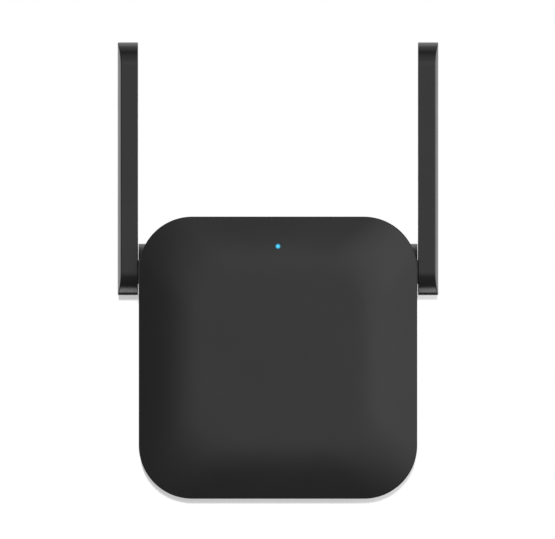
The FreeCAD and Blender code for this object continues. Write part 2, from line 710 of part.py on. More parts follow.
def make_housing_coax():
    """The part of the lead that stays in the housing: an S bend from the pivot to the main board."""
    bend = COAX_HOUSING_BEND_R
    corner = math.sqrt(0.5) * bend
    z = HINGE_Z
    y0 = HINGE_Y
    y1 = HINGE_Y - 2 * bend
    end_x = -COAX_PLUG_X - COAX_PLUG_R
    x_last = end_x - 2.0
    x_mid = x_last - bend
    x_first = x_mid - bend
    points = [
        Vector(COAX_SPLIT_X, y0, z),
        Vector(x_first, y0, z),
        Vector(x_first + corner, y0 - bend + corner, z),
        Vector(x_mid, y0 - bend, z),
        Vector(x_last - corner, y1 + bend - corner, z),
        Vector(x_last, y1, z),
        Vector(end_x, y1, z),
    ]
    return tube_along(
        [
            Part.LineSegment(points[0], points[1]),
            Part.Arc(points[1], points[2], points[3]),
            Part.Arc(points[3], points[4], points[5]),
            Part.LineSegment(points[5], points[6]),
        ],
        COAX_R,
    )


def make_coax_plug():
    y0 = MAIN_BOARD_REAR_Y + COAX_SOCKET_H
    return rod_y(COAX_PLUG_R, y0, y0 + COAX_PLUG_H, -COAX_PLUG_X, HINGE_Z)


# ---- main board and what is on it ----
def make_coax_sockets():
    y0 = MAIN_BOARD_REAR_Y
    y1 = y0 + COAX_SOCKET_H
    width = COAX_SOCKET_W
    return Part.makeCompound(
        [block_at(side * COAX_PLUG_X, HINGE_Z, width, width, y0, y1) for side in (-1, 1)]
    )


def make_main_board():
    board = rounded_plate(
        MAIN_BOARD_W, MAIN_BOARD_H, BOARD_CORNER_R, MAIN_BOARD_FRONT_Y, MAIN_BOARD_REAR_Y
    )
    y0, y1 = MAIN_BOARD_FRONT_Y - 1, MAIN_BOARD_REAR_Y + 1
    holes = [rod_y(BOARD_HOLE_R, y0, y1, x, z) for x, z in MAIN_POSTS]
    holes += [rod_y(LINK_HOLE_R, y0, y1, x, z) for x, z in LINK_PINS]
    return board.cut(holes)


def make_main_board_chips(places):
    y1 = MAIN_BOARD_FRONT_Y
    return Part.makeCompound([block_at(x, z, w, h, y1 - t, y1) for x, z, w, h, t in places])


def make_shield_frame():
    y1 = MAIN_BOARD_FRONT_Y
    outer = block_at(SHIELD_X, SHIELD_Z, SHIELD_W, SHIELD_H, y1 - SHIELD_DEPTH, y1)
    hollow_w, hollow_h = SHIELD_W - 2 * SHIELD_T, SHIELD_H - 2 * SHIELD_T
    return outer.cut(block_at(SHIELD_X, SHIELD_Z, hollow_w, hollow_h, y1 - 2 * SHIELD_DEPTH, y1 + 1))


def make_shield_lid():
    y1 = MAIN_BOARD_FRONT_Y - SHIELD_DEPTH
    plate = rounded_plate(SHIELD_W, SHIELD_H, 0.8, y1 - SHIELD_T, y1, SHIELD_X, SHIELD_Z)
    pinholes = []
    for i, k in SHIELD_HOLES:
        x = SHIELD_X + SHIELD_HOLE_PITCH * i
        z = SHIELD_Z + SHIELD_HOLE_PITCH * k
        pinholes.append(rod_y(SHIELD_HOLE_R, y1 - 1, y1 + 1, x, z))
    return plate.cut(pinholes)


def make_reset_switch():
    """The switch's body, open at the bottom where the plunger slides."""
    z0 = -MAIN_BOARD_H / 2
    y0, y1 = MAIN_BOARD_REAR_Y, MAIN_BOARD_REAR_Y + SWITCH_DEPTH
    half = SWITCH_W / 2
    body = block(RESET_X - half, RESET_X + half, y0, y1, z0, z0 + SWITCH_H)
    guide_r = PLUNGER_R + PLUNGER_CLEARANCE
    guide_end = z0 + PLUNGER_DEPTH + PLUNGER_STROKE + PLUNGER_CLEARANCE
    return body.cut(rod_z(guide_r, z0 - 1, guide_end, RESET_X, (y0 + y1) / 2))


def make_reset_plunger():
    z0 = -MAIN_BOARD_H / 2
    y = MAIN_BOARD_REAR_Y + SWITCH_DEPTH / 2
    plunger = rod_z(PLUNGER_R, z0 - PLUNGER_REACH, z0 + PLUNGER_DEPTH, RESET_X, y)
    tip = [e for e in plunger.Edges if e.BoundBox.ZMax < z0 - PLUNGER_REACH + 0.01]
    return plunger.makeFillet(PLUNGER_TIP_R, tip)


# ---- power board and what is on it ----
def make_power_board():
    height = POWER_BOARD_TOP_Z - POWER_BOARD_BOTTOM_Z
    middle = (POWER_BOARD_TOP_Z + POWER_BOARD_BOTTOM_Z) / 2
    board = rounded_plate(
        POWER_BOARD_W, height, POWER_BOARD_CORNER_R, POWER_BOARD_FRONT_Y, POWER_BOARD_REAR_Y, z=middle
    )
    y0, y1 = POWER_BOARD_FRONT_Y - 1, POWER_BOARD_REAR_Y + 1
    holes = [rod_y(BOARD_HOLE_R, y0, y1, x, z) for x, z in POWER_POSTS]
    holes += [rod_y(LINK_HOLE_R, y0, y1, x, z) for x, z in LINK_PINS]
    return board.cut([*holes, block_at(*ISOLATION_SLOT, y0, y1)])


def on_power(x, z, width, height, tall):
    """A block standing on the power board's front face."""
    return block_at(x, z, width, height, POWER_BOARD_FRONT_Y - tall, POWER_BOARD_FRONT_Y)


def make_cans(places, radius, tall):
    """Round capacitors standing on the power board, with rolled top edges."""
    cans = []
    top_y = POWER_BOARD_FRONT_Y - tall
    for x, z in places:
        can = rod_y(radius, top_y, POWER_BOARD_FRONT_Y, x, z)
        cans.append(can.makeFillet(CAN_EDGE_R, edges_at_y(can, top_y)))
    return Part.makeCompound(cans)


def make_transformer_core():
    """Two E-shaped ferrite halves, drawn as one closed frame with a middle leg."""
    outer = on_power(TRANSFORMER_X, TRANSFORMER_Z, CORE_W, CORE_T, TALLEST_PART)
    x0, x1 = TRANSFORMER_X - CORE_W / 2, TRANSFORMER_X + CORE_W / 2
    half_leg = CORE_MIDDLE_LEG / 2
    z0, z1 = TRANSFORMER_Z - CORE_T, TRANSFORMER_Z + CORE_T
    windows = [
        block(x0 + CORE_LEG, TRANSFORMER_X - half_leg, WINDOW_Y0, WINDOW_Y1, z0, z1),
        block(TRANSFORMER_X + half_leg, x1 - CORE_LEG, WINDOW_Y0, WINDOW_Y1, z0, z1),
    ]
    return outer.cut(windows)


def transformer_plate(width, height, radius, y0, y1):
    return rounded_plate(width, height, radius, y0, y1, TRANSFORMER_X, TRANSFORMER_Z)


def make_transformer_bobbin():
    flange_t = BOBBIN_FLANGE_T
    bobbin = joined(
        transformer_plate(*BOBBIN_TUBE, WINDOW_Y0, WINDOW_Y1),
        transformer_plate(BOBBIN_W, BOBBIN_H, 1.0, WINDOW_Y0, WINDOW_Y0 + flange_t),
        transformer_plate(BOBBIN_W, BOBBIN_H, 1.0, WINDOW_Y1 - flange_t, WINDOW_Y1),
    )
    leg = block_at(
        TRANSFORMER_X, TRANSFORMER_Z, CORE_MIDDLE_LEG, CORE_T, WINDOW_Y0 - 1, WINDOW_Y1 + 1
    )
    return bobbin.cut(leg)


def make_transformer_winding():
    y0, y1 = WINDOW_Y0 + BOBBIN_FLANGE_T, WINDOW_Y1 - BOBBIN_FLANGE_T
    return transformer_plate(*WINDING, y0, y1).cut(transformer_plate(*BOBBIN_TUBE, y0 - 1, y1 + 1))


def make_fuse_resistor():
    """A barrel lying along Z over the board, on a wire that bends down to it at both ends."""
    y = POWER_BOARD_FRONT_Y - FUSE_R - FUSE_LIFT
    half = FUSE_LENGTH / 2
    body = rod_z(FUSE_R, FUSE_Z - half, FUSE_Z + half, FUSE_X, y)
    body = body.makeFillet(0.6, [e for e in body.Edges if e.BoundBox.ZLength < 0.01])
    bend = LEAD_BEND_R
    corner = bend * (1 - math.sqrt(0.5))
    ends = []
    for side in (-1, 1):
        z = FUSE_Z + side * FUSE_LEAD_SPAN / 2
        foot = Vector(FUSE_X, POWER_BOARD_FRONT_Y, z)
        knee = Vector(FUSE_X, y + bend, z)
        middle = Vector(FUSE_X, y + corner, z - side * corner)
        level = Vector(FUSE_X, y, z - side * bend)
        ends.append((foot, knee, middle, level))
    first, last = ends
    wire = tube_along(
        [
            Part.LineSegment(first[0], first[1]),
            Part.Arc(first[1], first[2], first[3]),
            Part.LineSegment(first[3], last[3]),
            Part.Arc(last[3], last[2], last[1]),
            Part.LineSegment(last[1], last[0]),
        ],
        LEAD_R,
    )
    return joined(body, wire)


def make_safety_capacitor():
    """A coated disc standing on edge on two leads."""
    y = POWER_BOARD_FRONT_Y - SAFETY_CAP_LIFT - SAFETY_CAP_R
    half = SAFETY_CAP_T / 2
    disc = rod_x(SAFETY_CAP_R, SAFETY_CAP_X - half, SAFETY_CAP_X + half, y, SAFETY_CAP_Z)
    disc = disc.makeFillet(0.9, [e for e in disc.Edges if e.BoundBox.XLength < 0.01])
    legs = []
    for z in (SAFETY_CAP_Z - SAFETY_CAP_PITCH / 2, SAFETY_CAP_Z + SAFETY_CAP_PITCH / 2):
        legs.append(rod_y(LEAD_R, y + SAFETY_CAP_R / 2, POWER_BOARD_FRONT_Y, SAFETY_CAP_X, z))
    return joined(disc, *legs)


def inductor_rod(radius, y0, y1):
    """A round slice of the filter inductor, between two heights above the board."""
    base = POWER_BOARD_FRONT_Y
    return rod_y(radius, base - y1, base - y0, INDUCTOR_X, INDUCTOR_Z)


def make_filter_inductor():
    top = INDUCTOR_H - INDUCTOR_FLANGE_T
    return joined(
        inductor_rod(INDUCTOR_CORE_R, 0, INDUCTOR_H),
        inductor_rod(INDUCTOR_FLANGE_R, 0, INDUCTOR_FLANGE_T),
        inductor_rod(INDUCTOR_FLANGE_R, top, INDUCTOR_H),
    )


def make_filter_winding():
    top = INDUCTOR_H - INDUCTOR_FLANGE_T
    ring = inductor_rod(INDUCTOR_WIRE_R, INDUCTOR_FLANGE_T, top)
    return ring.cut(inductor_rod(INDUCTOR_CORE_R, 0, INDUCTOR_H))


def make_link_pins():
    """The header pins that carry power and ground between the two boards."""
    y0, y1 = MAIN_BOARD_FRONT_Y - 0.8, POWER_BOARD_REAR_Y + 0.8
    width = 2 * LINK_PIN_HALF
    return Part.makeCompound([block_at(x, z, width, width, y0, y1) for x, z in LINK_PINS])


def make_link_spacer():
    x, z = LINK_PINS[len(LINK_PINS) // 2]
    length = LINK_PITCH * len(LINK_PINS)
    return on_power(x, z, LINK_SPACER_W, length, LINK_SPACER_W).cut(make_link_pins())


def make_insulation_sheet():
    """A plastic film between the two boards, with a notch for the header."""
    y1 = POWER_BOARD_FRONT_Y - TALLEST_PART
    x, z = LINK_PINS[len(LINK_PINS) // 2]
    sheet = rounded_plate(SHEET_W, SHEET_H, SHEET_CORNER_R, y1 - SHEET_T, y1, z=SHEET_Z)
    notch = block(x - 2, HALF_W, y1 - 1, y1 + 1, z - SHEET_NOTCH_H / 2, z + SHEET_NOTCH_H / 2)
    return sheet.cut(notch)


# ---- fasteners ----
def make_screw(x, z, head_y, length, direction):
    """A pan-head screw whose shank runs from head_y along Y, direction +1 or -1."""
    under, tip = head_y, head_y + direction * length
    shank = rod_y(SCREW_R, min(under, tip), max(under, tip), x, z)
    top = head_y - direction * SCREW_HEAD_T
    head = rod_y(SCREW_HEAD_R, min(under, top), max(under, top), x, z)
    rim = [e for e in head.Edges if abs(e.BoundBox.YMin - top) < 0.01 and e.BoundBox.XLength > 1]
    head = head.makeFillet(0.5, rim)
    y0, y1 = sorted((top - direction, top + direction * 0.7))
    cross = [block_at(x, z, 2.0, 0.45, y0, y1), block_at(x, z, 0.45, 2.0, y0, y1)]
    return joined(shank, head).cut(cross)


def make_parts():
    parts = {
        "front_cover": make_front_cover(),
        "rear_shell": make_rear_shell(),
        "rating_label": make_rating_label(),
        "light_pipe": make_light_pipe(),
    }
    for side, word in ((-1, "left"), (1, "right")):
        parts["plug_pin_" + word] = make_plug_pin(side)
        parts["pin_sleeve_" + word] = make_pin_sleeve(side)
        parts["pin_contact_" + word] = make_pin_contact(side)
    sided = {
        "antenna_shell": make_antenna_shell(),
        "antenna_pivot": make_antenna_pivot(),
        "radiator_board": make_radiator_board(),
        "radiator_traces": make_radiator_traces(),
        "antenna_coax": make_antenna_coax(),
        "hinge_washer": make_hinge_washer(),
        "housing_coax": make_housing_coax(),
        "coax_plug": make_coax_plug(),
    }
    for name, shape in sided.items():
        parts["left_" + name] = shape
        parts["right_" + name] = mirrored(shape)
    parts["main_board"] = make_main_board()
    parts["coax_sockets"] = make_coax_sockets()
    parts["shield_frame"] = make_shield_frame()
    parts["shield_lid"] = make_shield_lid()
    for name, places in MAIN_BOARD_CHIPS.items():
        parts[name] = make_main_board_chips(places)
    parts["reset_switch"] = make_reset_switch()
    parts["reset_plunger"] = make_reset_plunger()
    parts["power_board"] = make_power_board()
    parts["transformer_core"] = make_transformer_core()
    parts["transformer_bobbin"] = make_transformer_bobbin()
    parts["transformer_winding"] = make_transformer_winding()
    for name, (places, radius, tall) in POWER_BOARD_CANS.items():
        parts[name] = make_cans(places, radius, tall)
    for name, (x, z, width, height, tall) in POWER_BOARD_BLOCKS.items():
        parts[name] = on_power(x, z, width, height, tall)
    parts["fuse_resistor"] = make_fuse_resistor()
    parts["safety_capacitor"] = make_safety_capacitor()
    parts["filter_inductor"] = make_filter_inductor()
    parts["filter_winding"] = make_filter_winding()
    parts["link_spacer"] = make_link_spacer()
    parts["link_pins"] = make_link_pins()
    parts["insulation_sheet"] = make_insulation_sheet()
    parts["main_board_screws"] = Part.makeCompound(
        [make_screw(x, z, MAIN_BOARD_REAR_Y, 4.8, -1) for x, z in MAIN_POSTS]
    )
    parts["power_board_screws"] = Part.makeCompound(
        [make_screw(x, z, POWER_BOARD_FRONT_Y, 4.0, 1) for x, z in POWER_POSTS]
    )
    return parts


os.makedirs("parts", exist_ok=True)
for name, shape in make_parts().items():
    solids = shape.Solids
    whole = solids[0] if len(solids) == 1 else Part.makeCompound(solids)
    if not solids or not whole.isValid():
        raise ValueError(f"{name} is not a valid solid")
    whole.exportStep(f"parts/{name}.step")
    print(f"{name:24s} {len(solids)} solid(s) {whole.Volume:10.1f} mm3")
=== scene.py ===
"""The looks of a plug-in wifi range extender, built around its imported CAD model. Lengths are in metres."""

import json
import math

import bmesh
import bpy
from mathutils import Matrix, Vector


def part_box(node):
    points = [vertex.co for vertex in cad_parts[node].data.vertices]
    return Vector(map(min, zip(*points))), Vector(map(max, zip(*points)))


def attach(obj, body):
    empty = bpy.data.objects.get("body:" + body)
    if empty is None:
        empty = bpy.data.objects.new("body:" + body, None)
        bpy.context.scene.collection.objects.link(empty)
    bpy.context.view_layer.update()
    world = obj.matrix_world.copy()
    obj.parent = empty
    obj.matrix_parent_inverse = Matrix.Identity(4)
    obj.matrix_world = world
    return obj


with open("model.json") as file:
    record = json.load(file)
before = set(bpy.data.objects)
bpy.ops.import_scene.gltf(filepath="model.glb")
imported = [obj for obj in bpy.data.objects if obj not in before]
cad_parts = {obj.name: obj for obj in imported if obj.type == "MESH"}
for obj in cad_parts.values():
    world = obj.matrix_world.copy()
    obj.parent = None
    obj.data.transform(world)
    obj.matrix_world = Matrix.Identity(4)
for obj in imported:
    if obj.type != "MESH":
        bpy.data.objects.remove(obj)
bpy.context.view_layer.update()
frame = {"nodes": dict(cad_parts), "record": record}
record = frame["record"]
nodes = frame["nodes"]
MM = 0.001

# ---- places that follow from the frame ----
COVER_LOW, COVER_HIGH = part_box("front_cover")
WALL_FACE_Y = next(row["pos_m"][1] for row in record["mounts"] if row["name"] == "wall_face")
LENS_CENTRE = sum(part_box("light_pipe"), Vector()) / 2

# ---- sizes that the CAD part has too ----
LENS_RADIUS = 0.65 * MM
HOUSING_CORNER_R = 14.2 * MM

# ---- camera: a long lens looking level at the front ----
LENS_MM = 1200
SENSOR_MM = 36
VIEW_WIDTH = 147.47 * MM
VIEW_PLANE_Y = -42.0 * MM
AIM_X = -0.13 * MM
AIM_Z = 23.44 * MM

# ---- chip packages: leads on each side, pitch, lead width, reach past the body, shoulder height, in mm ----
PACKAGES = {
    "memory_chip": (4, 1.27, 0.42, 1.0, 0.8),
    "control_chip": (4, 1.27, 0.42, 1.0, 0.8),
    "bridge_rectifier": (2, 2.54, 0.7, 1.1, 1.2),
    "optocoupler": (2, 2.54, 0.9, 0.9, 1.6),
}
LEAD_THICKNESS = 0.2 * MM

# ---- radius of each small part's edges, in mm ----
SOFT_EDGES = {"wifi_chip": 0.08, "power_amplifiers": 0.06, "crystal": 0.15, "buck_inductor": 0.35}
SOFT_EDGES.update({name: 0.12 for name in PACKAGES})
WELD_WITHIN = 0.001 * MM

# ---- stage: a floor, and behind each lower edge a narrow card that takes its shadow ----
FLOOR_GAP = 13.0 * MM
FLOOR_SIZE = 3.0
FLOOR_GLOW = 0.72
SHEET_GREYS = (0.792, 0.8)
CLOUD_ON_SHEET = 0.4
CARD_GLOW = 0.47
CARD_GAP = 0.3 * MM
CARD_HEIGHT = 2.6 * MM
CARD_TUCK = 0.3 * MM
BLADE_TO_CARD = 20.0 * MM
CORNER_STEPS = 12
LAMP_POWER = 590.0
LAMP_RADIUS = 70.0 * MM
LAMP_RISE = 250.0 * MM

# ---- studio panels: azimuth, elevation, half-angle of the even middle, half-angle of the edge, strength.
# Azimuth 0 is in front of the object and 90 is on its right. ----
PANELS = {
    "front": (2, 3, 0, 26, 0.8),
    "front_right": (36, 6, 9, 35, 1.24),
    "high_right": (48, 34, 0, 30, 0.3),
    "high_front": (12, 34, 0, 34, 0.55),
    "overhead": (180, 72, 5, 40, 0.67),
    "side_right": (100, 5, 15, 45, 0.9),
    "side_left": (-110, 0, 15, 45, 0.8),
    "below": (180, -76, 13, 22, 3.1),
    "rear": (180, 24, 25, 56, 0.95),
    "back_right": (138, -24, 0, 34, 1.0),
    "back_left": (-138, -24, 0, 34, 1.0),
    "fill": (0, 0, 10, 70, 0.07),
}


# ---- shader helpers ----
NOISE_LOW, NOISE_HIGH = 0.3, 0.7  # most of a noise's values lie between these


class Shader:
    """The nodes of a material or world. The methods from where down add nodes and return an output."""

    def __init__(self, name, tree=None):
        if tree is None:
            self.material = bpy.data.materials.new(name)
            self.material.use_nodes = True
            tree = self.material.node_tree
        self.tree = tree
        self.surface = self.tree.nodes.get("Principled BSDF")
        self.place = None

    def add(self, kind, inputs, **settings):
        """A new node with its settings made and its inputs set or linked."""
        made = self.tree.nodes.new(kind)
        for key, value in settings.items():
            setattr(made, key, value)
        for key, value in inputs.items():
            self.put(made.inputs[key], value)
        return made

    def put(self, socket, value):
        """Links an output to the socket, or sets it to a plain value."""
        if isinstance(value, bpy.types.NodeSocket):
            self.tree.links.new(value, socket)
        else:
            socket.default_value = value

    def set(self, **values):
        """Sets or links inputs of the Principled shader: base_color is "Base Color" and so on."""
        for key, value in values.items():
            self.put(self.surface.inputs[key.replace("_", " ").title()], value)

    def where(self):
        """The point on the object at rest, in metres."""
        if self.place is None:
            self.place = self.add("ShaderNodeTexCoord", {}).outputs["Object"]
        return self.place

    def axis(self, letter, place=None):
        """One coordinate of the point on the object, or of another vector."""
        parts = self.add("ShaderNodeSeparateXYZ", {0: place or self.where()})
        return parts.outputs[letter.upper()]

    def stretched(self, x, y, z):
        """The point with each axis scaled, so that a pattern is drawn out along the smallest."""
        made = self.add("ShaderNodeVectorMath", {0: self.where(), 1: (x, y, z)}, operation="MULTIPLY")
        return made.outputs[0]

    def noise(self, size, detail=2.0, place=None, rough=0.5):
        """Cloudy noise from 0 to 1 with features of about that size in metres."""
        inputs = {"Vector": place or self.where(), "Scale": 1 / size, "Detail": detail}
        return self.add("ShaderNodeTexNoise", {**inputs, "Roughness": rough}).outputs[0]

    def patches(self, size, low=0.0, high=1.0, detail=2.0, place=None):
        """A value that wanders between low and high in patches of about that size."""
        return self.span(self.noise(size, detail, place), NOISE_LOW, NOISE_HIGH, low, high)

    def cells(self, size, place=None, output="Distance"):
        """Cells of about that size: each point's distance from its cell's centre, or its cell's colour."""
        inputs = {"Vector": place or self.where(), "Scale": 1 / size}
        return self.add("ShaderNodeTexVoronoi", inputs).outputs[output]

    def random(self, size, place=None, channel=0):
        """A random number for each cell of about that size."""
        colour = self.cells(size, place, "Color")
        return self.add("ShaderNodeSeparateColor", {0: colour}).outputs[channel]

    def math(self, operation, a, b=0.0, c=0.0):
        """One sum or comparison of up to three values."""
        return self.add("ShaderNodeMath", {0: a, 1: b, 2: c}, operation=operation).outputs[0]

    def span(self, value, low, high, to_low=0.0, to_high=1.0, smooth=False):
        """value's stretch from low to high, brought to the stretch from to_low to to_high."""
        inputs = {"Value": value, "From Min": low, "From Max": high}
        inputs.update({"To Min": to_low, "To Max": to_high})
        kind = "SMOOTHSTEP" if smooth else "LINEAR"
        return self.add("ShaderNodeMapRange", inputs, interpolation_type=kind).outputs[0]

    def mix(self, share, a, b):
        """A colour that goes from a to b as share goes from 0 to 1."""
        made = self.add("ShaderNodeMix", {}, data_type="RGBA")
        self.put(made.inputs["Factor"], share)
        for socket, value in ((made.inputs[6], a), (made.inputs[7], b)):
            self.put(socket, value if isinstance(value, bpy.types.NodeSocket) else rgba(value))
        return made.outputs[2]

    def bump(self, height, depth):
        """A normal from a 0 to 1 height that stands for depth metres."""
        inputs = {"Height": height, "Distance": depth, "Strength": 1.0}
        return self.add("ShaderNodeBump", inputs).outputs[0]

    def normal(self):
        """The way that the surface faces."""
        return self.add("ShaderNodeNewGeometry", {}).outputs["Normal"]


def rgba(colour):
    """A colour given as one grey level or three channels, in linear light."""
    if isinstance(colour, (int, float)):
        colour = (colour, colour, colour)
    return (*colour, 1.0)


# ---- moulded plastics and resins ----
TONE_SPREAD = 0.12


def moulded(name, colour, roughness, grain=0.25 * MM, depth=0.004 * MM, uneven=0.07):
    """Moulded plastic: a fine sparked grain, faint flow clouds and slightly uneven gloss."""
    s = Shader(name)
    clouds = s.noise(18 * MM, 3.0)
    speckle = s.noise(0.6 * MM, 2.0)
    tone = s.math("ADD", s.math("MULTIPLY", clouds, 0.6), s.math("MULTIPLY", speckle, 0.4))
    dark = [c * (1 - TONE_SPREAD) for c in colour]
    pale = [c * (1 + TONE_SPREAD) for c in colour]
    s.set(base_color=s.mix(s.span(tone, NOISE_LOW, NOISE_HIGH), dark, pale))
    s.set(roughness=s.patches(7 * MM, roughness * (1 - uneven), roughness * (1 + uneven), 3.0))
    s.set(normal=s.bump(s.noise(grain, 3.0, rough=0.6), depth))
    return s.material


def housing_plastic():
    return moulded("housing_plastic", (0.017, 0.017, 0.017), 0.286, uneven=0.035)


def antenna_plastic():
    return moulded("antenna_plastic", (0.0165, 0.0165, 0.0165), 0.25)


def pin_insulation():
    return moulded("pin_insulation", (0.012, 0.012, 0.013), 0.22, grain=0.4 * MM, depth=0.002 * MM)


def plunger_plastic():
    return moulded("plunger_plastic", (0.03, 0.03, 0.032), 0.35)


def switch_plastic():
    return moulded("switch_plastic", (0.02, 0.02, 0.02), 0.5)


def bobbin_plastic():
    return moulded("bobbin_plastic", (0.045, 0.04, 0.035), 0.45)


def washer_rubber():
    return moulded("washer_rubber", (0.02, 0.02, 0.021), 0.7, grain=0.15 * MM, depth=0.006 * MM)


def coax_jacket():
    return moulded("coax_jacket", (0.16, 0.16, 0.165), 0.35, grain=0.8 * MM, depth=0.003 * MM)


def chip_resin():
    """Dark moulded resin with the matt skin that its mould leaves."""
    return moulded("chip_resin", (0.022, 0.022, 0.024), 0.55, grain=0.08 * MM, depth=0.005 * MM)


# ---- metals ----
def metal(name, colour, roughness, brushed, depth=0.002 * MM, tarnish=0.15):
    """Metal with fine lines along the axes whose stretch is smallest, and uneven tarnish."""
    s = Shader(name)
    lines = s.noise(0.08 * MM, 2.0, s.stretched(*brushed))
    stain = s.noise(3 * MM, 4.0)
    dull = [c * (1 - tarnish) for c in colour]
    s.set(base_color=s.mix(s.span(stain, 0.35, 0.65), dull, colour), metallic=1.0)
    worn = s.span(stain, NOISE_LOW, NOISE_HIGH, 0.0, 0.08)
    rough = s.math("ADD", s.span(lines, 0.2, 0.8, -0.05, 0.05), worn)
    s.set(roughness=s.math("ADD", rough, roughness), normal=s.bump(lines, depth))
    return s.material


def pin_metal():
    """Nickel plated brass, with the fine rings of its turning."""
    return metal("pin_metal", (0.66, 0.63, 0.58), 0.22, (0.05, 1, 0.05), depth=0.0003 * MM)


def contact_brass():
    return metal("contact_brass", (0.72, 0.52, 0.24), 0.28, (1, 0.1, 1))


def copper():
    return metal("copper", (0.85, 0.45, 0.26), 0.3, (1, 1, 0.1))


def gold_contact():
    return metal("gold_contact", (0.86, 0.65, 0.3), 0.22, (1, 0.2, 1), tarnish=0.08)


def screw_steel():
    return metal("screw_steel", (0.6, 0.6, 0.62), 0.3, (1, 0.1, 1))


def tinned_steel():
    """Bright tin with the flowery crystals of its coat."""
    s = Shader("tinned_steel")
    shade = s.random(2.2 * MM)
    s.set(base_color=s.mix(shade, (0.64, 0.64, 0.65), (0.7, 0.7, 0.72)), metallic=1.0)
    s.set(roughness=s.span(shade, 0.0, 1.0, 0.31, 0.37))
    s.set(normal=s.bump(s.noise(0.5 * MM, 3.0), 0.004 * MM))
    return s.material


# ---- boards and what is on them ----
def board_laminate():
    """Green solder mask over fine tracks and tinned holes, with bare glass cloth at the edges."""
    area, half_pitch = 7 * MM, 0.45 * MM
    track_core, track_edge = 0.13 * MM, 0.17 * MM
    track_share, poured_share = 0.53, 0.28
    hole_pitch, hole_core, hole_edge = 2.4 * MM, 0.09, 0.12
    s = Shader("board_laminate")
    flat = s.stretched(1, 0.001, 1)
    turned = s.math("GREATER_THAN", s.random(area, flat, channel=0), 0.5)
    upright = s.math("MULTIPLY", s.axis("x"), turned)
    level = s.math("MULTIPLY", s.axis("z"), s.math("SUBTRACT", 1.0, turned))
    off_track = s.math("PINGPONG", s.math("ADD", upright, level), half_pitch)
    routed = s.math("GREATER_THAN", s.noise(area / 2, 1.0, flat), 1 - track_share)
    tracks = s.math("MULTIPLY", s.span(off_track, track_core, track_edge, 1.0, 0.0), routed)
    poured = s.math("GREATER_THAN", s.random(area, flat, channel=1), 1 - poured_share)
    copper_under = s.math("MAXIMUM", tracks, poured)
    mask = s.mix(copper_under, (0.004, 0.05, 0.018), (0.012, 0.105, 0.034))
    facing = s.span(s.math("ABSOLUTE", s.axis("y", s.normal())), 0.6, 0.8)
    rings = s.span(s.cells(hole_pitch, flat), hole_core, hole_edge, 1.0, 0.0)
    holes = s.math("MULTIPLY", rings, facing)
    weave = s.patches(0.12 * MM, place=s.stretched(1, 6, 1))
    edge = s.mix(weave, (0.28, 0.24, 0.1), (0.5, 0.44, 0.22))
    face = s.mix(holes, mask, (0.62, 0.62, 0.6))
    s.set(base_color=s.mix(facing, edge, face), metallic=holes)
    s.set(roughness=s.span(copper_under, 0, 1, 0.42, 0.3), normal=s.bump(copper_under, 0.03 * MM))
    return s.material


def ferrite():
    return moulded("ferrite", (0.035, 0.034, 0.036), 0.5, grain=0.1 * MM, depth=0.008 * MM)


def led_lens():
    """Clear yellow phosphor under a resin dome."""
    s = Shader("led_lens")
    s.set(base_color=s.mix(s.noise(0.2 * MM), (0.75, 0.72, 0.5), (0.85, 0.83, 0.62)))
    s.set(roughness=s.patches(0.3 * MM, 0.12, 0.2))
    return s.material


def winding_tape():
    """Yellow film tape wound round the coil, with the edge of each turn."""
    tape_turns, lap_start = 3, 0.93
    s = Shader("winding_tape")
    low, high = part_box("transformer_winding")
    turns = s.math("FRACT", s.math("DIVIDE", s.axis("y"), (high.y - low.y) / tape_turns))
    lap = s.span(turns, lap_start, 1.0)
    film = s.mix(s.noise(2 * MM, 3.0), (0.62, 0.42, 0.03), (0.74, 0.55, 0.06))
    s.set(base_color=s.mix(lap, film, (0.4, 0.26, 0.02)), roughness=0.3)
    s.set(normal=s.bump(s.math("ADD", turns, s.noise(1.2 * MM)), 0.05 * MM))
    return s.material


def capacitor_sleeve():
    """A dark shrink sleeve with a pale stripe, rolled over a bare aluminium top."""
    s = Shader("capacitor_sleeve")
    facing = s.normal()
    top = s.span(s.axis("y", facing), -0.75, -0.9)
    stripe = s.span(s.axis("x", facing), -0.86, -0.9)
    sleeve = s.mix(s.noise(3 * MM, 2.0), (0.012, 0.02, 0.05), (0.018, 0.028, 0.065))
    side = s.mix(stripe, sleeve, (0.45, 0.47, 0.5))
    s.set(base_color=s.mix(top, side, (0.75, 0.75, 0.76)), metallic=top, roughness=0.3)
    s.set(normal=s.bump(s.noise(0.8 * MM, 2.0), 0.01 * MM))
    return s.material


def resistor_coat():
    """Baked green lacquer with painted bands, on tinned leads."""
    wave_radians, band_crest, banded_half = 44.0, 0.55, 0.22
    s = Shader("resistor_coat")
    low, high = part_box("fuse_resistor")
    share = s.span(s.axis("z"), low.z, high.z)
    wave = s.math("SINE", s.math("MULTIPLY", share, wave_radians))
    bands = s.math("GREATER_THAN", wave, band_crest)
    inside = s.math("COMPARE", share, 0.5, banded_half)
    coat = s.mix(s.noise(1.5 * MM, 3.0), (0.02, 0.16, 0.1), (0.03, 0.22, 0.13))
    s.set(base_color=s.mix(s.math("MULTIPLY", bands, inside), coat, (0.3, 0.12, 0.02)))
    s.set(roughness=0.35, normal=s.bump(s.noise(0.5 * MM, 3.0), 0.02 * MM))
    return s.material


def disc_coat():
    """Thick blue dip coating."""
    s = Shader("disc_coat")
    s.set(base_color=s.mix(s.noise(1.5 * MM, 3.0), (0.01, 0.08, 0.3), (0.015, 0.12, 0.4)))
    s.set(roughness=0.3, normal=s.bump(s.noise(0.7 * MM, 3.0), 0.03 * MM))
    return s.material


